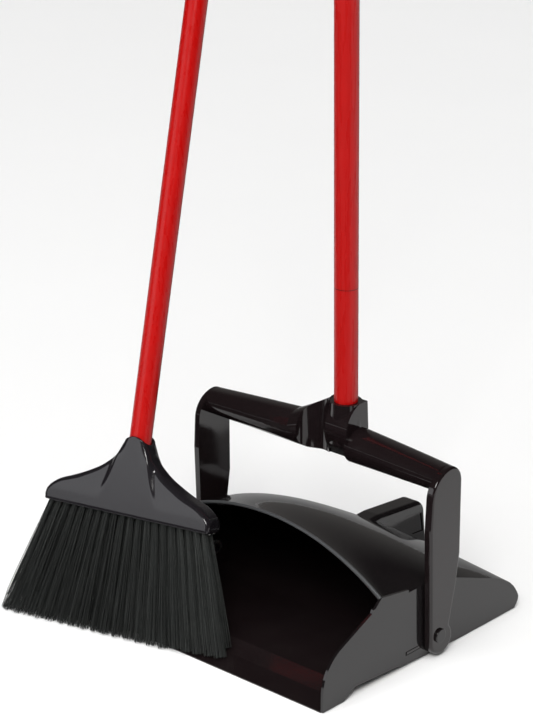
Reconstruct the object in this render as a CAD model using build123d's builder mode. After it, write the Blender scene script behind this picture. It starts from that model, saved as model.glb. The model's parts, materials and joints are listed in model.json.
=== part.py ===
# Upright dust pan with a swinging yoke handle, and the broom that stands with it.
#
# Frame: X across the pan, -Y out of its mouth, +Z up, millimetres.
# The origin is on the floor, under the middle of the line of the two pivot pins.

import math
import os

from build123d import *

# ---- Pan: driving sizes ----
HALF_WIDTH = 156.0  # outside of a side wall
WALL = 3.0
MOUTH_Y = -83.5  # plane of the hood's front rim
LIP_Y = -172.5  # front of the sweeping lip
TAIL_Y = 151.0
RIDGE_Y = -128.0
RIDGE_Z = 13.0
RAMP_FOOT_Y = -146.0
RAMP_FOOT_Z = 5.0
LIP_T = 1.2
FLOOR_T = 2.6

# Hood sections from mouth to tail: place, height of the side edge, height of the crown.
HOOD_SECTIONS = (
    (MOUTH_Y, 95.7, 144.0),
    (-20.0, 86.0, 129.5),
    (50.0, 71.0, 98.0),
    (105.0, 50.5, 66.5),
    (138.0, 32.0, 38.5),
    (TAIL_Y, 14.0, 17.0),
)

# ---- Pivot and yoke: driving sizes ----
PIVOT_Z = 26.0
PIN_R = 4.0
RUN_GAP = 0.06  # radial play of the leg on its pin
SIDE_GAP = 0.3  # play between faces that slide past each other
BOSS_H = 1.7  # pivot boss on the side wall
LEG_IN = HALF_WIDTH + BOSS_H + SIDE_GAP
LEG_T = 8.5
LEG_OUT = LEG_IN + LEG_T
D_CENTRE = (12.0, 181.5)  # centre of the round top of a leg
D_R = 30.0
LEG_BACK = (16.4, 33.0)  # foot of a leg's back edge
LEG_BACK_SLOPE = 0.225

# ---- Handles ----
PAN_TUBE_R = 12.7
BROOM_TUBE_R = 11.9
TUBE_T = 0.9
SOCKET_X = 22.3
SOCKET_Y = 16.0
SOCKET_TOP = 245.0
SOCKET_FLOOR = 200.0
HANDLE_RAKE = 1.2  # degrees towards the mouth
HANDLE_LENGTH = 728.0
NOTCH_X = -10.0
NOTCH_Y = -5.0
NOTCH_R = 20.5
HANG_HOLE_R = 4.5

# ---- Broom ----
HEAD_AT = (-131.7, -151.2, 122.6)  # middle of the cap's lower edge
HEAD_YAW = 14.5
HEAD_BACK = 16.0
CAP_HALF = 100.7
CAP_H = 83.0
CAP_DEPTH = 13.5
ROWS = 4
TUFTS = 20
ROW_PITCH = 5.2
TUFT_PITCH = 9.7
FLARE = 1.45  # spread of the tufts, tip to root
ROW_FLARE = 1.12
TUFT_ROOT_R = 2.2
TUFT_TIP_R = 3.3
BROOM_TUBE_LENGTH = 785.0

UPWARD = (Align.CENTER, Align.CENTER, Align.MIN)  # stands on its place
DOWNWARD = (Align.CENTER, Align.CENTER, Align.MAX)  # hangs from its place

os.makedirs("parts", exist_ok=True)


def save(piece, label):
    piece.part.label = label
    export_step(piece.part, "parts/" + label + ".step")


# ---------------------------------------------------------------- pan

def hood_sections(inset, front, tail):
    """Arched sections of the hood, moved in by the inset, from mouth to tail."""
    sections = []
    last = len(HOOD_SECTIONS) - 1
    for i, (y, edge, crown) in enumerate(HOOD_SECTIONS):
        at = front if i == 0 else tail if i == last else y
        half = HALF_WIDTH - inset
        with BuildSketch(Plane.XZ.offset(-at)) as section:
            with BuildLine():
                Line((-half, 0), (half, 0))
                Line((half, 0), (half, edge - inset))
                ThreePointArc((half, edge - inset), (0, crown - inset), (-half, edge - inset))
                Line((-half, edge - inset), (-half, 0))
            make_face()
        sections.append(section.sketch)
    return sections


# Lower edge of the side walls: flat at the lip, raised over the ramp, flat again behind the pivot
WALL_FOOT_Z = 1.2
FOOT_BACK = -123.0
FOOT_RISE = 10.6
GROUND_Y = 45.0


def side_wall_sketch(plane):
    """Front part of a side wall, with its swept front edge and raised lower edge."""
    with BuildSketch(plane) as outline:
        with BuildLine():
            Polyline((-40, 86), (-40, 5.9), (FOOT_BACK, FOOT_RISE), (-140, WALL_FOOT_Z))
            Polyline((-140, WALL_FOOT_Z), (LIP_Y, WALL_FOOT_Z), (LIP_Y, 18.6))
            ThreePointArc((LIP_Y, 18.6), (-166.2, 43), (-145, 62))
            Polyline((-145, 62), (-98, 83.4), (-96.5, 87), (-93, 87), (MOUTH_Y, 95.7), (-40, 89), (-40, 86))
        make_face()
    return outline.sketch


# Slots for the tray's snap tabs: one in each side wall, two in the tail
SLOT_Y = -30.0
SLOT_Z = 16.7
SLOT_L = 25.0
SLOT_H = 4.4
TAIL_SLOTS_X = (-85.0, 85.0)
TAIL_SLOT_Z = 13.0

# Stop ribs that the legs lean back on
RIB_FOOT = 42.0
RIB_TOP = 68.0
RIB_T = 3.0
RIB_OUT = 7.0
BOSS_R = 11.0

# Screws through the hood's back into the grip: place on the crown and lean of the surface
SCREW_LEAN = 30.5
GRIP_SCREWS = ((88.0, 76.3), (122.0, 52.6))
SCREW_R = 1.9
SCREW_HEAD_R = 4.2


def stop_rib_y(z):
    """Back edge of a leg at height z, which is where its stop rib stands."""
    return LEG_BACK[0] + (z - LEG_BACK[1]) * LEG_BACK_SLOPE + SIDE_GAP


def screw_plane(y, z):
    lean = math.radians(SCREW_LEAN)
    return Plane(origin=(0, y, z), x_dir=(1, 0, 0), z_dir=(0, math.sin(lean), math.cos(lean)))


with BuildPart() as hood_shell:
    loft(hood_sections(0, MOUTH_Y, TAIL_Y))
    loft(hood_sections(WALL, MOUTH_Y - 1, TAIL_Y - WALL), mode=Mode.SUBTRACT)
    # the tail is rounded under, and the lower edge rises towards the mouth
    with BuildSketch(Plane.YZ.offset(-HALF_WIDTH)):
        with BuildLine():
            Polyline((GROUND_Y, -1), (GROUND_Y, 1.2), (-90, 8.7), (-90, -1), (GROUND_Y, -1))
        make_face()
        with BuildLine():
            Line((TAIL_Y + 5, 13), (TAIL_Y, 13))
            ThreePointArc((TAIL_Y, 13), (TAIL_Y - 1.6, 7), (TAIL_Y - 5.5, 2.8))
            Polyline((TAIL_Y - 5.5, 2.8), (TAIL_Y - 5.5, -1), (TAIL_Y + 5, -1), (TAIL_Y + 5, 13))
        make_face()
        with BuildLine():
            Polyline((GROUND_Y - 1, -1), (TAIL_Y, -1), (TAIL_Y, 2.8), (TAIL_Y - 6, 2.8))
            Polyline((TAIL_Y - 6, 2.8), (TAIL_Y - 6, WALL_FOOT_Z))
            Polyline((TAIL_Y - 6, WALL_FOOT_Z), (GROUND_Y - 1, WALL_FOOT_Z), (GROUND_Y - 1, -1))
        make_face()
    extrude(amount=2 * HALF_WIDTH, mode=Mode.SUBTRACT)
    for inner_face in (HALF_WIDTH - WALL, -HALF_WIDTH):
        extrude(side_wall_sketch(Plane.YZ.offset(inner_face)), amount=WALL)
    # pivot bosses and stop ribs, one each side
    foot_y = stop_rib_y(RIB_FOOT)
    top_y = stop_rib_y(RIB_TOP)
    for side in (-1, 1):
        with BuildSketch(Plane.YZ.offset(side * (HALF_WIDTH - WALL))):
            with Locations((0, PIVOT_Z)):
                Circle(BOSS_R)
        extrude(amount=side * (WALL + BOSS_H))
        with BuildSketch(Plane.YZ.offset(side * (HALF_WIDTH - 1))):
            with BuildLine():
                Polyline((foot_y, RIB_FOOT), (top_y, RIB_TOP), (top_y + RIB_T, RIB_TOP))
                Polyline((top_y + RIB_T, RIB_TOP), (foot_y + RIB_T, RIB_FOOT), (foot_y, RIB_FOOT))
            make_face()
        extrude(amount=side * (RIB_OUT + 1))
    # holes for the pins, slots for the tray's tabs, holes for the grip's screws
    with BuildSketch(Plane.YZ.offset(-HALF_WIDTH - 10)):
        with Locations((0, PIVOT_Z)):
            Circle(PIN_R)
        with Locations((SLOT_Y, SLOT_Z)):
            Rectangle(SLOT_L, SLOT_H)
    extrude(amount=2 * HALF_WIDTH + 20, mode=Mode.SUBTRACT)
    with Locations(*[(x, TAIL_Y, TAIL_SLOT_Z) for x in TAIL_SLOTS_X]):
        Box(SLOT_L, 12, SLOT_H, mode=Mode.SUBTRACT)
    for place in GRIP_SCREWS:
        with Locations(screw_plane(*place)):
            Cylinder(SCREW_R + 0.4, 30, mode=Mode.SUBTRACT)
save(hood_shell, "hood_shell")


RETAINER_R = 8.5
TRAY_BACK = TAIL_Y - 5.6
FLANGE_TOP = 21.0

with BuildPart() as floor_tray:
    half = HALF_WIDTH - WALL
    with BuildSketch(Plane.YZ.offset(-half)):
        with BuildLine():
            Polyline((LIP_Y, 0), (-150, 0), (-142, 2.4), (-126, RIDGE_Z - FLOOR_T), (-5, 0), (TAIL_Y - 9, 0))
            ThreePointArc((TAIL_Y - 9, 0), (TRAY_BACK - 1, 0.8), (TRAY_BACK, 2.7))
            Polyline((TRAY_BACK, 2.7), (TAIL_Y - 12, 2.7), (-5, FLOOR_T), (RIDGE_Y, RIDGE_Z))
            Polyline((RIDGE_Y, RIDGE_Z), (RAMP_FOOT_Y, RAMP_FOOT_Z), (LIP_Y, LIP_T), (LIP_Y, 0))
        make_face()
    extrude(amount=2 * half)
    # side flanges with snap tabs
    for side in (-1, 1):
        with BuildSketch(Plane.YZ.offset(side * (half - 1.1))):
            with BuildLine():
                Polyline((-100, 10), (-96, FLANGE_TOP), (130, FLANGE_TOP), (134, 2), (-5, 1.5), (-100, 10))
            make_face()
        extrude(amount=1, both=True)
        with Locations((side * half, 0, PIVOT_Z)):
            Cylinder(RETAINER_R + 1, 8, rotation=(0, 90, 0), mode=Mode.SUBTRACT)
        with Locations((side * (half + 1.4), SLOT_Y, SLOT_Z)):
            Box(3.4, SLOT_L - 3.0, SLOT_H - 1.6)
    # tail hooks: an upright with a tab that snaps into the hood's tail
    for x in TAIL_SLOTS_X:
        with Locations((x, TRAY_BACK - 1.4, 0.8)):
            Box(SLOT_L - 3.0, 2.0, TAIL_SLOT_Z + 0.6, align=UPWARD)
        with Locations((x, TRAY_BACK + 1.2, TAIL_SLOT_Z)):
            Box(SLOT_L - 3.0, 6.6, SLOT_H - 1.6)
save(floor_tray, "floor_tray")


GRIP_HALF = 13.0

with BuildPart() as rear_grip:
    with BuildSketch(Plane.YZ):
        with BuildLine():
            Polyline((66, 84.5), (88, 85.5), (153, 79.8))
            ThreePointArc((153, 79.8), (162.5, 75.2), (167, 64))
            Line((167, 64), (171, 31))
            ThreePointArc((171, 31), (168.8, 23), (162, 19.5))
            Polyline((162, 19.5), (140, 14), (66, 62), (66, 84.5))
        make_face()
    extrude(amount=GRIP_HALF, both=True)
    fillet(rear_grip.faces().filter_by(Axis.X).edges(), 5.5)
    loft(hood_sections(0, MOUTH_Y, TAIL_Y), mode=Mode.SUBTRACT)
    # recessed side panels
    for side in (-1, 1):
        with BuildSketch(Plane.YZ.offset(side * GRIP_HALF)):
            with BuildLine():
                Polyline((116, 66.5), (160, 65), (164, 42), (146, 43.5), (116, 66.5))
            make_face()
        extrude(amount=1.2, both=True, mode=Mode.SUBTRACT)
    for place in GRIP_SCREWS:
        with Locations(screw_plane(*place)):
            Cylinder(SCREW_R + 0.05, 9, align=UPWARD, mode=Mode.SUBTRACT)
save(rear_grip, "rear_grip")


with BuildPart() as grip_screws:
    for place in GRIP_SCREWS:
        at = screw_plane(*place)
        with Locations(at.offset(-WALL - 0.6)):
            Cylinder(SCREW_R, WALL + 8, align=UPWARD)
        with Locations(at.offset(-WALL - 3.2)):
            Cylinder(SCREW_HEAD_R, 2.6, align=UPWARD)
save(grip_screws, "grip_screws")


# ---------------------------------------------------------------- pivot pins

PIN_HEAD_R = 7.8
PIN_HEAD_H = 2.4

for side, name in ((-1, "left"), (1, "right")):
    head = side * (LEG_OUT + SIDE_GAP)
    inward = Plane(origin=(head, 0, PIVOT_Z), z_dir=(-side, 0, 0))
    outward = Plane(origin=(head, 0, PIVOT_Z), z_dir=(side, 0, 0))
    inner_end = abs(head) - (HALF_WIDTH - WALL) + 4
    with BuildPart() as pivot_pin:
        with BuildSketch(inward):
            Circle(PIN_R - 0.01)
        extrude(amount=inner_end)
        with BuildSketch(outward):
            Circle(PIN_HEAD_R)
        extrude(amount=PIN_HEAD_H)
        fillet(pivot_pin.faces().sort_by(Axis.X)[-1 if side > 0 else 0].edges(), 1.1)
    save(pivot_pin, "pivot_pin_" + name)

    with BuildPart() as pin_retainer:
        with BuildSketch(inward.offset(LEG_OUT + SIDE_GAP - HALF_WIDTH + WALL + 0.1)):
            Circle(RETAINER_R)
            Circle(PIN_R, mode=Mode.SUBTRACT)
        extrude(amount=2.4)
    save(pin_retainer, "pin_retainer_" + name)


# ---------------------------------------------------------------- yoke

def leg_outline(plane):
    """Side outline of a leg: round front shoulder, squarer back, tapering to the pivot."""
    cy, cz = D_CENTRE
    diagonal = D_R * math.sqrt(0.5)
    with BuildSketch(plane) as outline:
        with BuildLine():
            Polyline((-13.8, 20), (-19.4, 150), (cy - D_R, cz))
            ThreePointArc((cy - D_R, cz), (cy - diagonal, cz + diagonal), (cy, cz + D_R))
            ThreePointArc((cy, cz + D_R), (24, 206.2), (30, 193))
            Polyline((30, 193), (31.0, 110), (26.5, 77.9), LEG_BACK)
            ThreePointArc(LEG_BACK, (4.0, 3.2), (-13.8, 20))
        make_face()
    return outline.sketch


def bar_section(x, y, z, half_y, half_z, turn):
    """One section of the cross bar, an ellipse that leans forward towards the legs."""
    with BuildSketch(Plane.YZ.offset(x)) as section:
        with Locations((y, z)):
            Ellipse(half_y, half_z, rotation=turn)
    return section.sketch


SOCKET_PLANE = Plane(
    origin=(SOCKET_X, SOCKET_Y, SOCKET_FLOOR),
    x_dir=(1, 0, 0),
    z_dir=(0, -math.sin(math.radians(HANDLE_RAKE)), math.cos(math.radians(HANDLE_RAKE))),
)
BOSS_RIGHT = 40.0
BOSS_LEFT = -44.0
WEB_X = 2.0
CHEEK_BACK = 29.0

with BuildPart() as yoke:
    # tapered cross bar, one half each side of the boss
    for side, inner in ((1, BOSS_RIGHT - 4), (-1, BOSS_LEFT)):
        loft([
            bar_section(side * (LEG_IN + 1), 11, 197, 18.5, 14.8, -12),
            bar_section(side * 105, 13.5, 198, 19, 17, -8),
            bar_section(inner, 16, 199, 20.0, 19.6, 0),
        ])
    # web that climbs from the bar to the socket, and the socket block
    loft([
        bar_section(BOSS_LEFT, 16, 199, 20.0, 19.6, 0),
        bar_section((BOSS_LEFT + WEB_X) / 2, 15, 205, 19.5, 25.5, 0),
        bar_section(WEB_X + 1, 14, 213, 19, 31.5, 0),
    ])
    with BuildSketch(Plane.YZ.offset(WEB_X)):
        with BuildLine():
            Line((16, SOCKET_TOP), (CHEEK_BACK, SOCKET_TOP))
            Polyline((CHEEK_BACK, SOCKET_TOP), (CHEEK_BACK + 2, 215), (CHEEK_BACK, 186), (16, 180.5))
            Line((16, 180.5), (5, 192))
            ThreePointArc((5, 192), (-4.4, 221), (16, SOCKET_TOP))
        make_face()
    extrude(amount=BOSS_RIGHT - WEB_X)
    # tapered collar round the handle
    with BuildSketch(SOCKET_PLANE):
        Circle(19.0)
    with BuildSketch(SOCKET_PLANE.offset(SOCKET_TOP - SOCKET_FLOOR)):
        Circle(17.0)
    loft()
    # the notch that the broom's handle leans in, and the blind socket
    with BuildSketch(Plane.XY.offset(150)):
        with Locations((NOTCH_X, NOTCH_Y)):
            Circle(NOTCH_R)
    extrude(amount=120, mode=Mode.SUBTRACT)
    with BuildSketch(SOCKET_PLANE):
        Circle(PAN_TUBE_R + 0.1)
    extrude(amount=60, mode=Mode.SUBTRACT)
    # legs, bored for the pins
    for side in (-1, 1):
        extrude(leg_outline(Plane.YZ.offset(side * LEG_IN)), amount=side * LEG_T)
    with BuildSketch(Plane.YZ.offset(-LEG_OUT - 5)):
        with Locations((0, PIVOT_Z)):
            Circle(PIN_R + RUN_GAP)
    extrude(amount=2 * LEG_OUT + 10, mode=Mode.SUBTRACT)
    for side in (-1, 1):
        outer = yoke.faces().filter_by(Axis.X).sort_by(Axis.X)[-1 if side > 0 else 0]
        fillet(outer.outer_wire().edges(), 3.0)
save(yoke, "yoke")


def handle_cap(plane, tube_r, name):
    """Hang-up cap: a sleeve over the tube's end and a flattened eye with a hole."""
    with BuildPart() as cap:
        with BuildSketch(plane):
            Circle(tube_r + 1.6)
        extrude(amount=24, taper=1.5)
        with BuildSketch(plane.offset(14)):
            Circle(tube_r + 0.6)
        extrude(amount=14, taper=12)
        with BuildSketch(Plane(origin=plane.origin, x_dir=plane.x_dir, z_dir=-plane.y_dir)):
            with Locations((0, 36)):
                Circle(tube_r - 0.8)
                Circle(HANG_HOLE_R, mode=Mode.SUBTRACT)
        extrude(amount=4.5, both=True)
        with BuildSketch(Plane(origin=plane.origin, x_dir=plane.x_dir, z_dir=-plane.y_dir)):
            with Locations((0, 36)):
                Circle(HANG_HOLE_R)
        extrude(amount=20, both=True, mode=Mode.SUBTRACT)
        with BuildSketch(plane.offset(-0.01)):
            Circle(tube_r)
        extrude(amount=12.01, mode=Mode.SUBTRACT)
    save(cap, name)


def handle_tube(plane, tube_r, length, name):
    """Steel tube, open at both ends."""
    with BuildPart() as tube:
        with BuildSketch(plane):
            Circle(tube_r)
            Circle(tube_r - TUBE_T, mode=Mode.SUBTRACT)
        extrude(amount=length)
    save(tube, name)


def handle_tip(plane, tube_r, name):
    """Ribbed plug inside the lower end of the tube, with a short collar below it."""
    with BuildPart() as tip:
        with BuildSketch(plane.offset(-6)):
            Circle(tube_r - 1.5)
        extrude(amount=6)
        with BuildSketch(plane):
            Circle(tube_r - TUBE_T - 0.6)
        extrude(amount=34)
        for i in range(3):
            with BuildSketch(plane.offset(5 + 10 * i)):
                Circle(tube_r - TUBE_T)
            extrude(amount=3)
    save(tip, name)


PAN_TUBE_FOOT = SOCKET_PLANE.offset(7)
handle_tube(PAN_TUBE_FOOT, PAN_TUBE_R, HANDLE_LENGTH, "pan_handle_tube")
handle_tip(PAN_TUBE_FOOT, PAN_TUBE_R, "pan_handle_tip")
handle_cap(PAN_TUBE_FOOT.offset(HANDLE_LENGTH - 12), PAN_TUBE_R, "pan_handle_cap")


# ---------------------------------------------------------------- broom

yaw = math.radians(HEAD_YAW)
back = math.radians(HEAD_BACK)
ALONG = Vector(math.cos(yaw), math.sin(yaw), 0)
UP = Vector(-math.sin(yaw) * math.sin(back), math.cos(yaw) * math.sin(back), math.cos(back))
HEAD = Plane(origin=HEAD_AT, x_dir=ALONG, z_dir=UP)  # local x along, y to the back, z up the handle
FACE = Plane(origin=HEAD_AT, x_dir=ALONG, z_dir=-HEAD.y_dir)  # local x along, y up the handle

CAVITY_HALF = 98.4
CAVITY_ACROSS = 11.3
CAVITY_DEPTH = 15.0

with BuildPart() as head_cap:
    # wide flared skirt
    with BuildSketch(FACE):
        with BuildLine():
            Line((-CAP_HALF, 0), (CAP_HALF, 0))
            Line((CAP_HALF, 0), (CAP_HALF, 10))
            Spline((CAP_HALF, 10), (91, 22), (67, 31.5), (40.5, 45), (25.5, 58), (16, CAP_H - 8),
                   tangents=((0, 1), (-0.3, 1)))
            Line((16, CAP_H - 8), (-16, CAP_H - 8))
            Spline((-16, CAP_H - 8), (-25.5, 58), (-40.5, 45), (-67, 31.5), (-91, 22), (-CAP_HALF, 10),
                   tangents=((-0.3, -1), (0, -1)))
            Line((-CAP_HALF, 10), (-CAP_HALF, 0))
        make_face()
    extrude(amount=CAP_DEPTH, both=True)
    # taper from front to back
    with BuildSketch(Plane(origin=HEAD_AT, x_dir=HEAD.y_dir, z_dir=ALONG)):
        with BuildLine():
            Polyline((-CAP_DEPTH, 0), (-CAP_DEPTH, 6), (-8.5, CAP_H), (8.5, CAP_H))
            Polyline((8.5, CAP_H), (CAP_DEPTH, 6), (CAP_DEPTH, 0), (-CAP_DEPTH, 0))
        make_face()
    extrude(amount=CAP_HALF, both=True, mode=Mode.INTERSECT)
    # raised lobe that runs up into the socket
    with BuildSketch(HEAD.offset(11)):
        Ellipse(41, CAP_DEPTH - 0.8)
    with BuildSketch(HEAD.offset(45)):
        Ellipse(24, 14.4)
    with BuildSketch(HEAD.offset(CAP_H)):
        Ellipse(15, 14)
    loft()
    # pocket for the block, socket for the handle
    with BuildSketch(HEAD.offset(-1)):
        RectangleRounded(2 * CAVITY_HALF, 2 * CAVITY_ACROSS, 6)
    extrude(amount=CAVITY_DEPTH + 1, mode=Mode.SUBTRACT)
    with BuildSketch(HEAD.offset(30)):
        Circle(BROOM_TUBE_R + 0.1)
    extrude(amount=80, mode=Mode.SUBTRACT)
save(head_cap, "head_cap")


def tuft_places(row):
    """Root places of one row of tufts, as (along, back)."""
    count = TUFTS if row % 2 == 0 else TUFTS - 1
    start = -(count - 1) / 2
    across = (row - (ROWS - 1) / 2) * ROW_PITCH
    return [((start + i) * TUFT_PITCH, across) for i in range(count)]


ALL_TUFTS = [place for row in range(ROWS) for place in tuft_places(row)]
ROOT_DEPTH = 8.0
TUFT_START = 0.8  # where the slanted part of a tuft begins, clear of the block
BLOCK_SCREWS = [(94.6, 7.8), (-94.6, 7.8), (94.6, -2.6), (-94.6, -2.6)]

with BuildPart() as tuft_block:
    with BuildSketch(HEAD.offset(-1)):
        RectangleRounded(2 * CAVITY_HALF - 0.2, 2 * CAVITY_ACROSS - 0.2, 5.9)
    extrude(amount=CAVITY_DEPTH + 0.9)
    with Locations(HEAD.offset(-1)):
        with Locations(*ALL_TUFTS):
            Cylinder(TUFT_ROOT_R + 0.03, ROOT_DEPTH + 2, align=UPWARD, mode=Mode.SUBTRACT)
        with Locations(*BLOCK_SCREWS):
            Cylinder(1.7, 40, mode=Mode.SUBTRACT)
save(tuft_block, "tuft_block")


with BuildPart() as block_screws:
    with Locations(HEAD.offset(-1)):
        with Locations(*BLOCK_SCREWS):
            Cylinder(1.65, 15.5, align=UPWARD)
            Cylinder(2.5, 1.3, align=DOWNWARD)
save(block_screws, "block_screws")


def tip_height(point):
    """Lowest height for a tip: the floor, or just over the lip and ramp inside the pan."""
    ramp = 0.0
    if point.X > -HALF_WIDTH - 6 and point.Y > LIP_Y - 4:
        if point.Y < RAMP_FOOT_Y:
            ramp = LIP_T + (point.Y - LIP_Y) * (RAMP_FOOT_Z - LIP_T) / (RAMP_FOOT_Y - LIP_Y)
        else:
            ramp = RAMP_FOOT_Z + (point.Y - RAMP_FOOT_Y) * (RIDGE_Z - RAMP_FOOT_Z) / (RIDGE_Y - RAMP_FOOT_Y)
        ramp = max(ramp, LIP_T) + 1.0
    return ramp


for row in range(ROWS):
    with BuildPart() as bristle_row:
        for a, b in tuft_places(row):
            root = HEAD.from_local_coords((a, b, -1))
            aim = HEAD.from_local_coords((a * FLARE, b * ROW_FLARE, -125))
            run = (aim - root).normalized()
            sink = TUFT_TIP_R * math.sqrt(1 - run.Z * run.Z)
            length = (root.Z - sink) / -run.Z
            tip = root + run * length
            length = (root.Z - sink - tip_height(tip + Vector(0, TUFT_TIP_R, 0))) / -run.Z
            with Locations(Plane(origin=root + run * TUFT_START, z_dir=run)):
                Cone(TUFT_ROOT_R, TUFT_TIP_R, length - TUFT_START, align=UPWARD)
            with Locations(root):
                Sphere(TUFT_ROOT_R)
            with Locations(HEAD.offset(-1)):
                with Locations((a, b)):
                    Cylinder(TUFT_ROOT_R, ROOT_DEPTH, align=UPWARD)
    save(bristle_row, "bristle_row_" + str(row + 1))


with BuildPart() as tuft_staples:
    with Locations(HEAD.offset(-1 + ROOT_DEPTH + 1)):
        with Locations(*ALL_TUFTS):
            Box(3.4, 0.6, 1.8)
save(tuft_staples, "tuft_staples")


BROOM_TUBE_FOOT = HEAD.offset(37)
handle_tube(BROOM_TUBE_FOOT, BROOM_TUBE_R, BROOM_TUBE_LENGTH, "broom_handle_tube")
handle_tip(BROOM_TUBE_FOOT, BROOM_TUBE_R, "broom_handle_tip")
handle_cap(BROOM_TUBE_FOOT.offset(BROOM_TUBE_LENGTH - 12), BROOM_TUBE_R, "broom_handle_cap")
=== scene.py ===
import json
import math

import bmesh
import bpy
from mathutils import Matrix, Vector


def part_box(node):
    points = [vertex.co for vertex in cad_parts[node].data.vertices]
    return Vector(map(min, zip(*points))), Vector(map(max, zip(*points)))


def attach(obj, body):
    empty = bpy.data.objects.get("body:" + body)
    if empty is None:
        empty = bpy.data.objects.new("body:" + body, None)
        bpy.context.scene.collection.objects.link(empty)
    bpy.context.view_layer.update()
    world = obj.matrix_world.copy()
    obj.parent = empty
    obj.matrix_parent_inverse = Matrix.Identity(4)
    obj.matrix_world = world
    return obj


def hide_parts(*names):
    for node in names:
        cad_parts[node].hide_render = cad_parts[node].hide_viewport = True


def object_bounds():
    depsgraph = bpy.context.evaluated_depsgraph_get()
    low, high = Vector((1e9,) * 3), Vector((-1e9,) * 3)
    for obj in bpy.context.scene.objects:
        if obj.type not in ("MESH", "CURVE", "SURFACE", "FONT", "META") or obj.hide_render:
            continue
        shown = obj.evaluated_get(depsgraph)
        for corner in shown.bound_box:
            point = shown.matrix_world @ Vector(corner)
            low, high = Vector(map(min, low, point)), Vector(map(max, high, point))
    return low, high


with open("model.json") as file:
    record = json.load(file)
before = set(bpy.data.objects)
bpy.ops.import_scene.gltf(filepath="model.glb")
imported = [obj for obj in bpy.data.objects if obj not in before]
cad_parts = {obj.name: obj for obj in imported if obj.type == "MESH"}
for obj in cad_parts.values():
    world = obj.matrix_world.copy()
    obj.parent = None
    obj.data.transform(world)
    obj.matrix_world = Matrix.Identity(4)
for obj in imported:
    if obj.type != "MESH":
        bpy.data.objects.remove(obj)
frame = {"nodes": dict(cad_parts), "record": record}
cad_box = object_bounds()


# ---- Hood and tray -------------------------------------------------------------------
# The hood is one injection moulding in black polypropylene, with a polished tool on the
# outside, so it is glossy with a faint ripple, thin scuffs and a little dust on top.
# The tray snaps into it from below.

def feed(tree, node, sockets):
    """Sets a node's inputs, each from a value or from another node's output."""
    for key, value in sockets.items():
        if isinstance(value, bpy.types.NodeSocket):
            tree.links.new(value, node.inputs[key])
        else:
            node.inputs[key].default_value = value


def wire(tree, kind, sockets=None, **settings):
    """A new node with its settings and its inputs."""
    node = tree.nodes.new(kind)
    for name, value in settings.items():
        setattr(node, name, value)
    feed(tree, node, sockets or {})
    return node


def calc(tree, operation, a, b=0.0):
    """One step of arithmetic on values."""
    return wire(tree, "ShaderNodeMath", {0: a, 1: b}, operation=operation).outputs[0]


def calc_vector(tree, operation, a, b=(0.0, 0.0, 0.0)):
    """One step of arithmetic on vectors."""
    return wire(tree, "ShaderNodeVectorMath", {0: a, 1: b}, operation=operation).outputs[0]


def noise(tree, place, scale, detail=2.0):
    """A cloudy pattern: its value first, its colour second."""
    return wire(tree, "ShaderNodeTexNoise", {"Vector": place, "Scale": scale, "Detail": detail}).outputs


def rescale(tree, value, low, high, start=0.0, end=1.0, ramp="LINEAR"):
    """Runs from start to end while the value goes from low to high, and stays there beyond."""
    sockets = {0: value, 1: low, 2: high, 3: start, 4: end}
    return wire(tree, "ShaderNodeMapRange", sockets, interpolation_type=ramp).outputs[0]


def blend(tree, mask, first, second):
    """A colour between two others, by a mask."""
    return wire(tree, "ShaderNodeMix", {0: mask, 6: first, 7: second}, data_type="RGBA").outputs[2]


def bump(tree, height, depth, strength=0.5):
    """Fine relief on the surface, as a normal."""
    sockets = {"Height": height, "Distance": depth, "Strength": strength}
    return wire(tree, "ShaderNodeBump", sockets).outputs[0]


def new_material(name):
    """A material and its tree."""
    material = bpy.data.materials.new(name)
    material.use_nodes = True
    return material, material.node_tree


def object_place(tree):
    """The place on the piece, which every pattern follows."""
    return wire(tree, "ShaderNodeTexCoord").outputs["Object"]


def paint(tree, looks):
    """Feeds colour, roughness and the rest to the material's shader."""
    feed(tree, tree.nodes["Principled BSDF"], looks)


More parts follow.
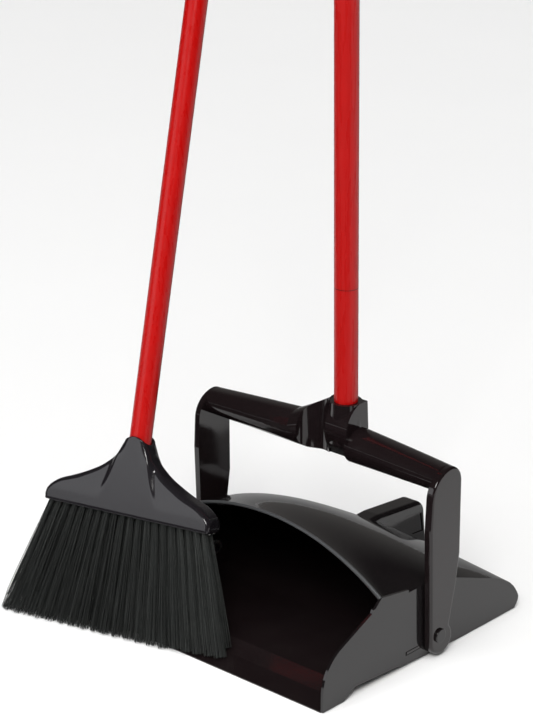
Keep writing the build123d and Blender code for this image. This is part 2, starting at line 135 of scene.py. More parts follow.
def moulded_surface():
    """Marks of a moulded and handled surface: slow ripple, hairline scuffs, dust on upward faces."""
    group = bpy.data.node_groups.new("moulded surface", "ShaderNodeTree")
    face = group.interface
    face.new_socket("Place", in_out="INPUT", socket_type="NodeSocketVector")
    for name, value in (("Gloss", 0.06), ("Ripple", 0.3), ("Scuffs", 0.3), ("Dust", 0.2)):
        socket = face.new_socket(name, in_out="INPUT", socket_type="NodeSocketFloat")
        socket.default_value = value
    for name in ("Tone", "Roughness", "Height"):
        face.new_socket(name, in_out="OUTPUT", socket_type="NodeSocketFloat")
    given = group.nodes.new("NodeGroupInput").outputs
    place = given["Place"]

    # ripple: the slow flow of the plastic, with a finer peel over it
    flow = noise(group, place, scale=22.0)[0]
    peel = calc(group, "MULTIPLY", noise(group, place, scale=420.0, detail=1.0)[0], 0.25)
    ripple = calc(group, "MULTIPLY", calc(group, "ADD", flow, peel), given["Ripple"])

    # hairlines: the edges of stretched, warped cells, kept only in patches
    warp = calc_vector(group, "MULTIPLY", noise(group, place, scale=14.0, detail=3.0)[1], (0.05, 0.05, 0.05))
    bent = calc_vector(group, "ADD", place, warp)
    drawn = calc_vector(group, "MULTIPLY", bent, (1.0, 0.35, 1.4))
    cells = wire(group, "ShaderNodeTexVoronoi", {"Vector": drawn, "Scale": 46.0}, feature="DISTANCE_TO_EDGE")
    line = rescale(group, cells.outputs[0], 0.0, 0.012, start=1.0, end=0.0)
    patch = rescale(group, flow, 0.5, 0.66)
    hair = calc(group, "MULTIPLY", calc(group, "MULTIPLY", line, patch), given["Scuffs"])

    # dust settles on faces that look up, in loose specks
    facing = wire(group, "ShaderNodeNewGeometry").outputs["Normal"]
    upward = wire(group, "ShaderNodeSeparateXYZ", {0: facing}).outputs[2]
    speck = rescale(group, noise(group, place, scale=900.0, detail=4.0)[0], 0.52, 0.72)
    level = rescale(group, upward, 0.35, 1.0)
    dust = calc(group, "MULTIPLY", calc(group, "MULTIPLY", speck, level), given["Dust"])

    tone = calc(group, "ADD", calc(group, "MULTIPLY", flow, 0.1), dust)
    tone = calc(group, "ADD", tone, hair)
    rough = calc(group, "ADD", calc(group, "MULTIPLY", flow, 0.05), given["Gloss"])
    worn = calc(group, "MULTIPLY", calc(group, "ADD", dust, hair), 0.35)
    rough = calc(group, "ADD", rough, worn)
    carved = calc(group, "SUBTRACT", ripple, hair)
    wire(group, "NodeGroupOutput", {"Tone": tone, "Roughness": rough, "Height": carved})
    return group


MOULDED = moulded_surface()


def plastic(name, dark, pale, gloss, ripple, scuffs, dust):
    """Moulded plastic whose colour runs from dark to pale with the marks on it."""
    material, tree = new_material(name)
    values = {"Place": object_place(tree), "Gloss": gloss, "Ripple": ripple, "Scuffs": scuffs, "Dust": dust}
    marks = wire(tree, "ShaderNodeGroup", values, node_tree=MOULDED).outputs
    paint(tree, {
        "Base Color": blend(tree, marks["Tone"], (*dark, 1), (*pale, 1)),
        "Roughness": marks["Roughness"],
        "Normal": bump(tree, marks["Height"], depth=0.0004),
        "IOR": 1.5,
    })
    return material


def finish_node(name, material):
    """Puts the material on a piece that comes from the CAD."""
    data = frame["nodes"][name].data
    data.materials.clear()
    data.materials.append(material)


GLOSS_BLACK = plastic("gloss black moulding", (0.004, 0.003, 0.0035), (0.05, 0.045, 0.043),
                      gloss=0.05, ripple=0.3, scuffs=0.06, dust=0.12)
finish_node("hood_shell", GLOSS_BLACK)

# A rounded bead runs along the hood's front rim, from one side wall to the other. Its colour is a painted
# highlight: grey rather than the hood's black, standing in for the light the rim reflects.
MOUTH_Y = -0.0835
RIM_HALF = 0.1545  # to the middle of the side wall's thickness
RIM_EDGE_Z = 0.0947
RIM_CROWN_Z = 0.1425
RIM_RISE = RIM_CROWN_Z - RIM_EDGE_Z
RIM_RADIUS = (RIM_HALF ** 2 + RIM_RISE ** 2) / (2 * RIM_RISE)
RIM_STEPS = 96
BEAD_R = 0.0018
BEAD_SIDES = 12


def as_mesh(name, shape):
    """The finished shape as a mesh."""
    mesh = bpy.data.meshes.new(name)
    shape.to_mesh(mesh)
    shape.free()
    return mesh


def rim_line():
    """The arc of the rim, as a row of edges."""
    arc = bmesh.new()
    before = None
    for step in range(RIM_STEPS + 1):
        x = RIM_HALF * (2 * step / RIM_STEPS - 1)
        z = RIM_CROWN_Z - RIM_RADIUS + math.sqrt(RIM_RADIUS ** 2 - x * x)
        here = arc.verts.new((x, MOUTH_Y, z))
        if before:
            arc.edges.new((before, here))
        before = here
    return bpy.data.objects.new("rim_bead", as_mesh("rim bead", arc))


def bead_tree(material):
    """A round bead along a row of edges, closed at both ends."""
    tree = bpy.data.node_groups.new("bead along a rim", "GeometryNodeTree")
    face = tree.interface
    face.new_socket("Geometry", in_out="INPUT", socket_type="NodeSocketGeometry")
    radius = face.new_socket("Bead radius", in_out="INPUT", socket_type="NodeSocketFloat")
    radius.default_value = BEAD_R
    face.new_socket("Geometry", in_out="OUTPUT", socket_type="NodeSocketGeometry")
    given = tree.nodes.new("NodeGroupInput").outputs
    line = wire(tree, "GeometryNodeMeshToCurve", {"Mesh": given["Geometry"]})
    line = wire(tree, "GeometryNodeResampleCurve", {"Curve": line.outputs[0], "Count": RIM_STEPS})
    ring = wire(tree, "GeometryNodeCurvePrimitiveCircle",
                {"Resolution": BEAD_SIDES, "Radius": given["Bead radius"]})
    tube = wire(tree, "GeometryNodeCurveToMesh",
                {"Curve": line.outputs[0], "Profile Curve": ring.outputs[0], "Fill Caps": True})
    soft = wire(tree, "GeometryNodeSetShadeSmooth", {"Geometry": tube.outputs[0]})
    real = wire(tree, "GeometryNodeRealizeInstances", {"Geometry": soft.outputs[0]})
    done = wire(tree, "GeometryNodeSetMaterial", {"Geometry": real.outputs[0], "Material": material})
    wire(tree, "NodeGroupOutput", {"Geometry": done.outputs[0]})
    return tree


def settle(obj, tree, sizes):
    """Runs a tree on an object and keeps the result as a plain mesh."""
    bpy.context.scene.collection.objects.link(obj)
    modifier = obj.modifiers.new(tree.name, "NODES")
    modifier.node_group = tree
    for item in tree.interface.items_tree:
        if item.in_out == "INPUT" and item.name in sizes:
            modifier[item.identifier] = sizes[item.name]
    view = bpy.context.evaluated_depsgraph_get()
    made = bpy.data.meshes.new_from_object(obj.evaluated_get(view), depsgraph=view)
    obj.modifiers.clear()
    obj.data = made
    return obj


# painted highlight: the bead is coloured pale grey, not black, to stand in for the light caught along the
# rim
RIM_PAINTED_HIGHLIGHT = plastic("rim with painted highlight", (0.040, 0.042, 0.044), (0.12, 0.12, 0.12),
                    gloss=0.34, ripple=0.2, scuffs=0.1, dust=0.1)
bead = settle(rim_line(), bead_tree(RIM_PAINTED_HIGHLIGHT), {"Bead radius": BEAD_R})
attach(bead, "pan")

TRAY_BLACK = plastic("tray moulding", (0.006, 0.0035, 0.004), (0.05, 0.042, 0.04),
                     gloss=0.09, ripple=0.4, scuffs=0.08, dust=0.12)
finish_node("floor_tray", TRAY_BLACK)


# ---- Grip at the back ------------------------------------------------------------------
# A hollow-backed fin in the same plastic, screwed on from inside the hood with plated
# steel screws.

finish_node("rear_grip", GLOSS_BLACK)


def plated_steel():
    """Zinc-plated steel with a fine grain and a cloudy bloom."""
    material, tree = new_material("zinc plated steel")
    place = object_place(tree)
    grain = noise(tree, place, scale=1400.0, detail=3.0)[0]
    bloom = noise(tree, place, scale=160.0)[0]
    paint(tree, {
        "Base Color": blend(tree, bloom, (0.42, 0.42, 0.41, 1), (0.72, 0.71, 0.68, 1)),
        "Roughness": rescale(tree, grain, 0.3, 0.7, start=0.22, end=0.45),
        "Normal": bump(tree, grain, depth=0.00005),
        "Metallic": 1.0,
    })
    return material


STEEL = plated_steel()
finish_node("grip_screws", STEEL)


# ---- Pivot pins ------------------------------------------------------------------------
# Turned black pins that the yoke swings on, held inside the walls by pressed steel rings
# that are pushed onto their ends.

for side in ("left", "right"):
    finish_node("pivot_pin_" + side, GLOSS_BLACK)
    finish_node("pin_retainer_" + side, STEEL)


# ---- Yoke ------------------------------------------------------------------------------
# One black moulding: two legs, a cross bar, the socket for the handle and the notch for
# the broom.

YOKE_BLACK = plastic("yoke moulding", (0.006, 0.0035, 0.004), (0.05, 0.042, 0.04),
                     gloss=0.06, ripple=0.25, scuffs=0.06, dust=0.1)
finish_node("yoke", YOKE_BLACK)


# ---- Pan handle ------------------------------------------------------------------------
# A steel tube in glossy red coating, made in two lengths that screw together, with plain
# plastic fittings at both ends.

PAN_TUBE_JOINT = 0.371
JOINT_LINE = 0.0005  # half the width of the line where two lengths meet


def coated_tube(name, joint_height):
    """Red coating with a soft run along the tube and a fine line where two lengths meet."""
    material, tree = new_material(name)
    place = object_place(tree)
    drawn = calc_vector(tree, "MULTIPLY", place, (1.0, 1.0, 0.06))
    streak = noise(tree, drawn, scale=260.0, detail=3.0)[0]
    cloud = noise(tree, place, scale=30.0)[0]
    tone = calc(tree, "MULTIPLY", streak, cloud)
    height = wire(tree, "ShaderNodeSeparateXYZ", {0: place}).outputs[2]
    gap = wire(tree, "ShaderNodeMath", {0: height, 1: joint_height, 2: JOINT_LINE}, operation="COMPARE")
    red = blend(tree, tone, (0.33, 0.0015, 0.0012, 1), (0.42, 0.004, 0.003, 1))
    relief = calc(tree, "SUBTRACT", streak, gap.outputs[0])
    paint(tree, {
        "Base Color": blend(tree, gap.outputs[0], red, (0.10, 0.002, 0.002, 1)),
        "Roughness": rescale(tree, streak, 0.3, 0.7, start=0.24, end=0.34),
        "Normal": bump(tree, relief, depth=0.0001, strength=0.3),
        "Coat Weight": 0.05,
        "Specular IOR Level": 0.25,
    })
    return material


finish_node("pan_handle_tube", coated_tube("red coating, pan handle", PAN_TUBE_JOINT))
PLAIN_BLACK = plastic("plain black fitting", (0.010, 0.010, 0.011), (0.06, 0.06, 0.06),
                      gloss=0.28, ripple=0.8, scuffs=0.4, dust=0.2)
finish_node("pan_handle_cap", PLAIN_BLACK)
finish_node("pan_handle_tip", PLAIN_BLACK)


# ---- Broom head ------------------------------------------------------------------------
# The cap is a thin-walled moulding that flares from the handle's socket to a wide skirt.
# The block inside holds the tufts and is screwed up into it.

mounts = {m["name"]: m for m in frame["record"]["mounts"]}
HEAD_YAW = math.radians(14.5)
HANG_HOLE_UP = 0.846  # from the cap's lower edge to the hang-up hole, along the handle
ALONG = Vector((math.cos(HEAD_YAW), math.sin(HEAD_YAW), 0))
FRONT = Vector(mounts["broom_hang_hole"]["axis"])
UP = ALONG.cross(-FRONT)
CAP_EDGE = Vector(mounts["broom_hang_hole"]["pos_m"]) - UP * HANG_HOLE_UP


def head_point(along, back, up):
    """A place on the broom's head, from the middle of the cap's lower edge."""
    return CAP_EDGE + ALONG * along - FRONT * back + UP * up


# the cap's outline and its lobe, as half widths at heights above the lower edge
CAP_H = 0.084
CAP_WIDTHS = (
    (0.0, 0.1007), (0.009, 0.1003), (0.014, 0.0975), (0.019, 0.0925), (0.0245, 0.084),
    (0.0315, 0.067), (0.038, 0.0535), (0.045, 0.0410), (0.0515, 0.0325), (0.058, 0.0265),
    (0.067, 0.0215), (0.076, 0.0184), (CAP_H, 0.0150),
)
LOBE_WIDTHS = (
    (0.0, 0.040), (0.018, 0.0325), (0.038, 0.0240), (0.056, 0.0185), (0.070, 0.0160),
    (CAP_H, 0.0146),
)
SKIRT_DEPTH = 0.0146  # half the thickness at the lower edge
DRAFT = 0.012  # lost from that with each unit of height
GROOVE_FOOT = 0.012  # the grooves beside the lobe start here, and deepen evenly from twice this height
GROOVE_SLOPE = 0.11
FLANK_WIDTH = 0.0035  # of the lobe's sides at the grooves' foot
FLANK_SPREAD = 0.11
CORNER = 0.0050
EDGE_SHARE = 0.55  # of the thickness, left at the outer edge
SLOPE_STEP = 0.001
ROUND_FROM = 0.055  # the flat cap turns into a round socket from this height
ROUND_OVER = 0.03
TONGUE = 0.0075  # the socket's front and back end this far above its sides
TONGUE_FROM = 0.05
TONGUE_BEND = 2.2
THINNEST = 0.0002
COLUMNS = 120
EDGE_PLACES = (0.6, 0.2, -0.2, -0.6)  # points round the outer edge, between front and back


def along_table(table, h):
    """A smooth value between the rows of (height, value)."""
    for i in range(len(table) - 1):
        if h <= table[i + 1][0]:
            break
    (h0, v0), (h1, v1) = table[i:i + 2]
    step = h1 - h0
    slope_in = (v1 - v0) / step
    slope_out = slope_in
    if i:
        slope_in = (v1 - table[i - 1][1]) / (h1 - table[i - 1][0])
    if i + 2 < len(table):
        slope_out = (table[i + 2][1] - v0) / (table[i + 2][0] - h0)
    t = (h - h0) / step
    return ((2 * t ** 3 - 3 * t ** 2 + 1) * v0 + (t ** 3 - 2 * t ** 2 + t) * step * slope_in
            + (3 * t ** 2 - 2 * t ** 3) * v1 + (t ** 3 - t ** 2) * step * slope_out)


def ease(t):
    """Goes softly from 0 to 1."""
    t = max(0.0, min(1.0, t))
    return t * t * (3 - 2 * t)


def cap_depth(x, h, half):
    """Half thickness of the cap: a fuller lobe up the middle, grooves beside it, rounded outer edges."""
    above = max(0.0, h - GROOVE_FOOT)
    ramp = above ** 2 / (2 * GROOVE_FOOT) if above < GROOVE_FOOT else above - GROOVE_FOOT / 2
    flank = FLANK_WIDTH + FLANK_SPREAD * above
    lobe = ease(1 - (abs(x) - along_table(LOBE_WIDTHS, h)) / flank)
    full = SKIRT_DEPTH - DRAFT * h - GROOVE_SLOPE * ramp * (1 - lobe)
    wide_above = along_table(CAP_WIDTHS, min(h + SLOPE_STEP, CAP_H))
    wide_below = along_table(CAP_WIDTHS, max(h - SLOPE_STEP, 0.0))
    slope = (wide_above - wide_below) / (2 * SLOPE_STEP)
    inside = (half - abs(x)) / math.sqrt(1 + slope * slope)
    corner = min(1.0, max(0.0, 1 - inside / CORNER))
    flat_side = EDGE_SHARE + (1 - EDGE_SHARE) * math.sqrt(1 - corner * corner)
    barrel = math.sqrt(max(0.0, 1 - min(1.0, abs(x) / half) ** 4))
    round_top = ease((h - ROUND_FROM) / ROUND_OVER)
    return full * (flat_side * (1 - round_top) + barrel * round_top)


def cap_ring(h, shrink=0.0):
    """One level of the cap: front from left to right, then back from right to left."""
    half = along_table(CAP_WIDTHS, h) - shrink
    columns = [half * math.sin(math.pi / 2 * (2 * i / COLUMNS - 1)) for i in range(COLUMNS + 1)]
    dip = TONGUE * ease((h - TONGUE_FROM) / (CAP_H - TONGUE_FROM))
    edge = max(cap_depth(half, h, half) - shrink, THINNEST)
    ring = []
    for side in (1, -1):
        for x in columns[::side]:
            deep = max(cap_depth(x, h, half) - shrink, THINNEST)
            ring.append(head_point(x, -side * deep, h - dip * abs(x / half) ** TONGUE_BEND))
        for part in EDGE_PLACES:
            ring.append(head_point(side * half, -side * part * edge, h - dip))
    return ring


def loft_rings(name, rings, material):
    """Joins rings of the same number of points into a smooth skin."""
    skin = bmesh.new()
    rows = [[skin.verts.new(p) for p in ring] for ring in rings]
    for low, high in zip(rows, rows[1:]):
        for i in range(len(low)):
            j = (i + 1) % len(low)
            skin.faces.new((low[i], low[j], high[j], high[i]))
    bmesh.ops.remove_doubles(skin, verts=skin.verts, dist=1e-6)
    bmesh.ops.recalc_face_normals(skin, faces=skin.faces)
    for f in skin.faces:
        f.smooth = True
    mesh = as_mesh(name, skin)
    mesh.materials.append(material)
    obj = bpy.data.objects.new(name, mesh)
    bpy.context.scene.collection.objects.link(obj)
    return obj


LOWER_EDGE = ((0.006, 0.002), (0.0, 0.0018), (0.0, 0.0006))  # (height, inset), from inside and round
SKIRT_LEVELS = (0.0008, 0.003, 0.006)
FLARE_FROM = 0.0085
FLARE_STEPS = 60
rings = [cap_ring(h, inset) for h, inset in LOWER_EDGE]
rings += [cap_ring(h) for h in SKIRT_LEVELS]
for i in range(FLARE_STEPS + 1):
    rings.append(cap_ring(FLARE_FROM + (CAP_H - FLARE_FROM) * (i / FLARE_STEPS)))

# the socket's lip turns in over the wall and runs down inside it, close round the tube
TUBE_R = 0.0119
LIP_R = TUBE_R + 0.0016
LIP_RISE = 0.0006
THROAT_R = TUBE_R + 0.0002
THROAT_DROP = 0.0012
THROAT_LENGTH = 0.012


def socket_ring(below, radius, rise):
    """The ring below, made round with this radius and moved up by the rise."""
    ring = []
    for place in below:
        local = place - CAP_EDGE
        x = local.dot(ALONG)
        y = -local.dot(FRONT)
        reach = math.hypot(x, y)
        ring.append(head_point(x * radius / reach, y * radius / reach, local.dot(UP) + rise))
    return ring


lip = socket_ring(rings[-1], LIP_R, LIP_RISE)
throat = socket_ring(rings[-1], THROAT_R, -THROAT_DROP)
throat_end = [place - UP * THROAT_LENGTH for place in throat]
CAP_BLACK = plastic("cap moulding", (0.007, 0.006, 0.0075), (0.05, 0.047, 0.05),
                    gloss=0.12, ripple=0.25, scuffs=0.06, dust=0.1)
cap = loft_rings("broom_cap", rings + [lip, throat, throat_end], CAP_BLACK)
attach(cap, "broom")
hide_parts("head_cap")
finish_node("tuft_block", PLAIN_BLACK)
finish_node("block_screws", STEEL)
finish_node("tuft_staples", STEEL)


# ---- Bristles --------------------------------------------------------------------------
# Tufts of dark synthetic fibre, folded and stapled into the block in four staggered rows.
# They flare outwards and are trimmed level with the floor, with the tips a little uneven.

ROWS = 4
TUFTS = 20
TUFT_PITCH = 0.0097
ROW_PITCH = 0.0052
ROOT_UP = 0.002  # the roots sit this far above the cap's lower edge
FLARE_DOWN = 0.125  # the flares hold at this depth below it
FLARE = 1.45
ROW_FLARE = 1.3
END_PULL = 0.018  # the last tufts of a row flare this much less
END_POWER = 6
ROOT_R = 0.0027
TIP_R = 0.0070
FIBRE_R = 0.00032
FLOOR_TRIM = 0.0008
LIP_TRIM = 0.0028
RAMP_RISE = 0.0118
RAMP_RUN = 0.0445
LIP_LEAD = 0.1  # of the ramp's run, where the tips already rise in front of the lip
SIDE_LEAD = 0.009  # and beside the tray
tray_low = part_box("floor_tray")[0]


def trim_height(point):
    """Where a tip ends: on the floor, or on the tray's lip and ramp where the broom reaches over it."""
    over = (point.y - tray_low.y) / RAMP_RUN
    if point.x < tray_low.x - SIDE_LEAD or over < -LIP_LEAD:
        return FLOOR_TRIM
    return LIP_TRIM + RAMP_RISE * max(0.0, min(1.0, over))


def tuft_lines(row):
    """One edge for each tuft of the row, from its root to its trimmed tip."""
    count = TUFTS - row % 2
    back = (row - (ROWS - 1) / 2) * ROW_PITCH
    lines = bmesh.new()
    for i in range(count):
        along = (i - (count - 1) / 2) * TUFT_PITCH
        pull = 1 - END_PULL * abs(2 * i / (count - 1) - 1) ** END_POWER
        root = head_point(along, back, ROOT_UP)
        aim = head_point(along * FLARE * pull, back * ROW_FLARE, -FLARE_DOWN)
        fall = (aim - root).normalized()
        tip = root + fall * (root.z / -fall.z)
        tip = root + fall * ((root.z - trim_height(tip)) / -fall.z)
        lines.edges.new((lines.verts.new(root), lines.verts.new(tip)))
    return bpy.data.objects.new(f"bristles_row_{row + 1}", as_mesh("tuft lines", lines))


def fibre_material():
    """Dull dark fibre, each one a little paler or darker than the next."""
    material, tree = new_material("bristle fibre")
    shade = wire(tree, "ShaderNodeAttribute", attribute_name="fibre_shade")
    mottle = noise(tree, object_place(tree), scale=300.0)[0]
    tone = calc(tree, "MULTIPLY", shade.outputs["Fac"], mottle)
    paint(tree, {
        "Base Color": blend(tree, tone, (0.010, 0.011, 0.0105, 1), (0.062, 0.066, 0.063, 1)),
        "Roughness": rescale(tree, mottle, 0.3, 0.7, start=0.6, end=0.8),
        "Specular IOR Level": 0.2,
    })
    return material


FIBRE_POINTS = 7
FIBRE_SIDES = 3
TIP_SHARE = 0.6  # of a fibre's thickness, left at its tip


def tuft_tree(material):
    """Turns each tuft line into a bundle of fibres that spread, bow and end unevenly."""
    tree = bpy.data.node_groups.new("tufts of fibre", "GeometryNodeTree")
    face = tree.interface
    face.new_socket("Geometry", in_out="INPUT", socket_type="NodeSocketGeometry")
    for name, kind, value in (
        ("Fibres", "NodeSocketInt", 72),
        ("Root radius", "NodeSocketFloat", ROOT_R),
        ("Tip radius", "NodeSocketFloat", TIP_R),
        ("Fibre radius", "NodeSocketFloat", FIBRE_R),
        ("Bow", "NodeSocketFloat", 0.0011),
        ("Uneven", "NodeSocketFloat", 0.008),
        ("Seed", "NodeSocketInt", 7),
    ):
        socket = face.new_socket(name, in_out="INPUT", socket_type=kind)
        socket.default_value = value
    face.new_socket("Lowest", in_out="INPUT", socket_type="NodeSocketVector")
    face.new_socket("Geometry", in_out="OUTPUT", socket_type="NodeSocketGeometry")
    given = tree.nodes.new("NodeGroupInput").outputs

    lines = wire(tree, "GeometryNodeMeshToCurve", {"Mesh": given["Geometry"]})
    lines = wire(tree, "GeometryNodeResampleCurve", {"Curve": lines.outputs[0], "Count": FIBRE_POINTS})
    bundle = wire(tree, "GeometryNodeDuplicateElements",
                  {"Geometry": lines.outputs[0], "Amount": given["Fibres"]}, domain="SPLINE")
    number = wire(tree, "GeometryNodeInputIndex")
    fibre = wire(tree, "GeometryNodeCaptureAttribute", {"Geometry": bundle.outputs[0]}, domain="CURVE")
    fibre.capture_items.new("INT", "number")
    tree.links.new(number.outputs[0], fibre.inputs[1])
    own_number = fibre.outputs[1]

    def chance(low, high, draw):
        """A random value of the fibre's own, one for each numbered draw."""
        seed = calc(tree, "ADD", given["Seed"], float(draw))
        sockets = {2: low, 3: high, "ID": own_number, "Seed": seed}
        return wire(tree, "FunctionNodeRandomValue", sockets, data_type="FLOAT").outputs[1]

    def times(a, b):
        return calc(tree, "MULTIPLY", a, b)

    def scaled(vector, by):
        return wire(tree, "ShaderNodeVectorMath", {0: vector, "Scale": by}, operation="SCALE").outputs[0]

    def summed(a, b):
        return calc_vector(tree, "ADD", a, b)

    # across and through: two directions square to the tuft, the first along the row
    down = wire(tree, "GeometryNodeSplineParameter").outputs
    tangent = wire(tree, "GeometryNodeInputTangent").outputs[0]
    across = calc_vector(tree, "CROSS_PRODUCT", tangent, tuple(FRONT))
    across = calc_vector(tree, "NORMALIZE", across)
    through = calc_vector(tree, "CROSS_PRODUCT", across, tangent)

    # each fibre has its place in the bundle, a bow of its own and a tip that ends short
    angle = chance(0.0, 2 * math.pi, 1)
    reach = calc(tree, "SQRT", chance(0.02, 1.0, 2))
    spread = rescale(tree, down["Factor"], 0.0, 1.0,
                     start=given["Root radius"], end=given["Tip radius"], ramp="SMOOTHSTEP")
    spread = times(spread, reach)
    side = scaled(across, times(calc(tree, "COSINE", angle), spread))
    deep = scaled(through, times(calc(tree, "SINE", angle), spread))
    belly = times(calc(tree, "SINE", times(down["Factor"], math.pi)), given["Bow"])
    bow = scaled(across, times(belly, chance(-1.0, 1.0, 3)))
    drift = scaled(through, times(belly, chance(-1.0, 1.0, 4)))
    short = times(times(down["Length"], given["Uneven"]), chance(-1.0, 0.0, 5))
    back = scaled(tangent, times(short, down["Factor"]))
    offset = summed(summed(side, deep), summed(summed(bow, drift), back))
    moved = wire(tree, "GeometryNodeSetPosition", {"Geometry": fibre.outputs[0], "Offset": offset})

    # no fibre passes the floor or the low corner of the whole object
    here = wire(tree, "GeometryNodeInputPosition").outputs[0]
    held = calc_vector(tree, "MAXIMUM", here, given["Lowest"])
    moved = wire(tree, "GeometryNodeSetPosition", {"Geometry": moved.outputs[0], "Position": held})

    taper = rescale(tree, down["Factor"], 0.0, 1.0, start=1.0, end=TIP_SHARE)
    thick = wire(tree, "GeometryNodeSetCurveRadius", {"Curve": moved.outputs[0], "Radius": taper})
    sockets = {"Geometry": thick.outputs[0], "Name": "fibre_shade", "Value": chance(0.1, 1.0, 6)}
    shade = wire(tree, "GeometryNodeStoreNamedAttribute", sockets, data_type="FLOAT", domain="CURVE")
    ring = wire(tree, "GeometryNodeCurvePrimitiveCircle",
                {"Resolution": FIBRE_SIDES, "Radius": given["Fibre radius"]})
    own_radius = wire(tree, "GeometryNodeInputRadius").outputs[0]
    solid = wire(tree, "GeometryNodeCurveToMesh", {
        "Curve": shade.outputs[0], "Profile Curve": ring.outputs[0], "Scale": own_radius, "Fill Caps": True,
    })
    smooth = wire(tree, "GeometryNodeSetShadeSmooth", {"Geometry": solid.outputs[0]})
    real = wire(tree, "GeometryNodeRealizeInstances", {"Geometry": smooth.outputs[0]})
    painted = wire(tree, "GeometryNodeSetMaterial", {"Geometry": real.outputs[0], "Material": material})
    wire(tree, "NodeGroupOutput", {"Geometry": painted.outputs[0]})
    return tree


FIRST_SEED = 11
FIBRE_TREE = tuft_tree(fibre_material())
lowest = [corner + FIBRE_R for corner in cad_box[0]]
for row in range(ROWS):
    tufts = settle(tuft_lines(row), FIBRE_TREE, {"Seed": FIRST_SEED + row, "Lowest": lowest})
    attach(tufts, "broom")
    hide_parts(f"bristle_row_{row + 1}")


# ---- Broom handle ----------------------------------------------------------------------
# The broom's handle is the thinner of the two tubes, in the same red, with the same plain
# fittings at its ends.

BROOM_TUBE_JOINT = 0.72

finish_node("broom_handle_tube", coated_tube("red coating, broom handle", BROOM_TUBE_JOINT))
finish_node("broom_handle_cap", PLAIN_BLACK)
finish_node("broom_handle_tip", PLAIN_BLACK)


# ---- Floor, light and camera -----------------------------------------------------------
# A white floor in an even room light, with two softboxes in front. The gloss sees a black
# cloth in front, a grey one behind, and a sky that is dark but for a dim sweep at the back.
# A pale screen stands behind everything for low views.

def floor_material():
    """Matt white with a faint cloudiness."""
    material, tree = new_material("white floor")
    cloud = noise(tree, object_place(tree), scale=3.0)[0]
    paint(tree, {
        "Base Color": blend(tree, cloud, (0.86, 0.86, 0.86, 1), (0.88, 0.88, 0.88, 1)),
        "Roughness": 0.9,
        "Specular IOR Level": 0.1,
    })
    return material


def stage_piece(name, shape, material):
    """A shape that stands on the stage and isn't part of the object."""
    mesh = as_mesh(name, shape)
    mesh.materials.append(material)
    piece = bpy.data.objects.new(name, mesh)
    bpy.context.scene.collection.objects.link(piece)
    return piece


def sheet(name, size, centre, material):
    """A flat four-sided sheet, level with the floor."""
    shape = bmesh.new()
    corners = [shape.verts.new((centre[0] + x * size[0] / 2, centre[1] + y * size[1] / 2, centre[2]))
               for x, y in ((-1, -1), (1, -1), (1, 1), (-1, 1))]
    shape.faces.new(corners)
    return stage_piece(name, shape, material)


FLOOR_SIDE = 24.0
sheet("floor", (FLOOR_SIDE, FLOOR_SIDE), (0, 0, 0), floor_material())

SCREEN_R = 11.5
SCREEN_H = 30.0


def pale_screen():
    """A round pale screen at the edge of the floor, for low views. It shows to the camera alone."""
    shape = bmesh.new()
    bmesh.ops.create_cone(shape, segments=96, radius1=SCREEN_R, radius2=SCREEN_R, depth=SCREEN_H,
                          cap_ends=True)
    bmesh.ops.reverse_faces(shape, faces=shape.faces)
    glow, tree = new_material("pale screen")
    paint(tree, {
        "Base Color": (0, 0, 0, 1),
        "Specular IOR Level": 0.0,
        "Emission Color": (0.93, 0.93, 0.93, 1),
        "Emission Strength": 1.0,
    })
    screen = stage_piece("pale screen", shape, glow)
    screen.visible_diffuse = False
    screen.visible_glossy = False
    screen.visible_shadow = False


pale_screen()


def reflected_cloth(name, size, centre, shade):
    """A dark cloth on the floor that shows in the gloss alone."""
    felt, tree = new_material(name)
    paint(tree, {"Base Color": (*shade, 1), "Roughness": 1.0})
    cloth = sheet(name, size, centre, felt)
    cloth.visible_camera = False
    cloth.visible_diffuse = False
    cloth.visible_shadow = False


CLOTH_Z = 0.002
reflected_cloth("black cloth in front", (6.0, 3.6), (0.2, -2.09, CLOTH_Z), (0.01, 0.008, 0.009))
reflected_cloth("grey cloth behind", (7.0, 6.0), (-3.4, 3.2, CLOTH_Z), (0.28, 0.28, 0.28))


def lamp(name, kind, toward, energy):
    """A lamp at the origin that shines in one direction."""
    light = bpy.data.lights.new(name, kind)
    light.energy = energy
    holder = bpy.data.objects.new(name, light)
    holder.rotation_mode = "QUATERNION"
    holder.rotation_quaternion = toward.to_track_quat("-Z", "Y")
    bpy.context.scene.collection.objects.link(holder)
    return holder


def softbox(name, place, target, size, energy, colour):
    """A rectangular lamp that faces its target."""
    box = lamp(name, "AREA", Vector(target) - Vector(place), energy)
    box.location = place
    box.data.shape = "RECTANGLE"
    box.data.size, box.data.size_y = size
    box.data.color = colour


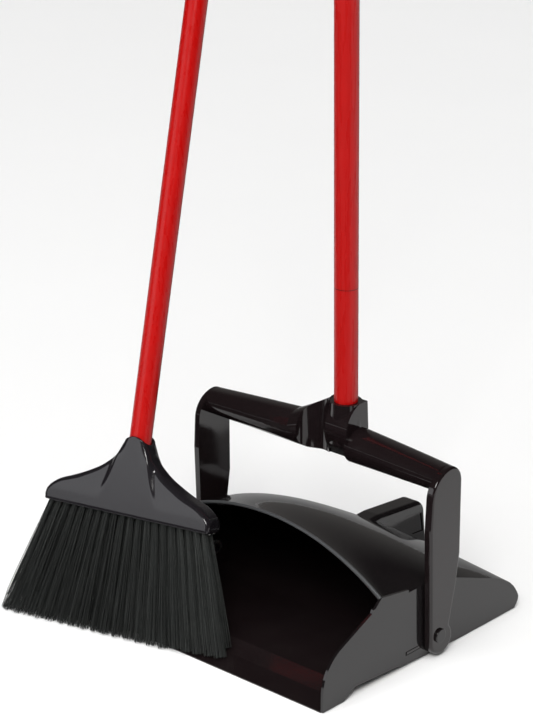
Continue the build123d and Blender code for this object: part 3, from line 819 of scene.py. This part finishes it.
softbox("high front box", (2.0, -2.8, 2.9), (0, 0, 0.3), (1.3, 1.3), 90, (1.0, 0.99, 0.97))
softbox("low front box", (-0.85, -3.1, 0.98), (-0.14, -0.15, 0.15), (2.3, 1.3), 17, (0.96, 0.97, 1.0))

room = lamp("room light", "SUN", Vector((-0.25, 0.5, -1.0)), 3.2)
room.data.angle = math.radians(70)
room.visible_glossy = False

BACKDROP = Vector((-0.66, 0.70, 0.28)).normalized()


def studio_sky():
    """A dim sweep behind the object that fades to a nearly black studio everywhere else."""
    world = bpy.data.worlds.new("studio")
    world.use_nodes = True
    tree = world.node_tree
    ray = wire(tree, "ShaderNodeTexCoord").outputs["Generated"]
    facing = wire(tree, "ShaderNodeVectorMath", {0: ray, 1: tuple(BACKDROP)}, operation="DOT_PRODUCT")
    sweep = rescale(tree, facing.outputs["Value"], 0.74, 0.99, start=0.02, end=0.17, ramp="SMOOTHSTEP")
    feed(tree, tree.nodes["Background"], {"Color": (1.0, 0.965, 0.93, 1), "Strength": sweep})
    return world


bpy.context.scene.world = studio_sky()

AZIMUTH = math.radians(41.92)
ELEVATION = math.radians(20.91)
ROLL = math.radians(0.24)
DISTANCE = 2.6569
AIM = Vector((-0.0762, 0.0, 0.2665))
SENSOR_MM = 36.0
FOCAL_MM = 124.31
toward = Vector((
    math.sin(AZIMUTH) * math.cos(ELEVATION),
    -math.cos(AZIMUTH) * math.cos(ELEVATION),
    math.sin(ELEVATION),
))
level = Vector((math.cos(AZIMUTH), math.sin(AZIMUTH), 0))
upright = toward.cross(level)
right = level * math.cos(ROLL) + upright * math.sin(ROLL)
top = upright * math.cos(ROLL) - level * math.sin(ROLL)
lens = bpy.data.cameras.new("camera")
lens.sensor_width = SENSOR_MM
lens.lens = FOCAL_MM
lens.clip_end = 60
camera = bpy.data.objects.new("camera", lens)
camera.rotation_mode = "QUATERNION"
camera.rotation_quaternion = Matrix((right, top, toward)).transposed().to_quaternion()
camera.location = AIM + toward * DISTANCE
bpy.context.scene.collection.objects.link(camera)
bpy.context.scene.camera = camera

bpy.context.scene.view_settings.view_transform = "Standard"
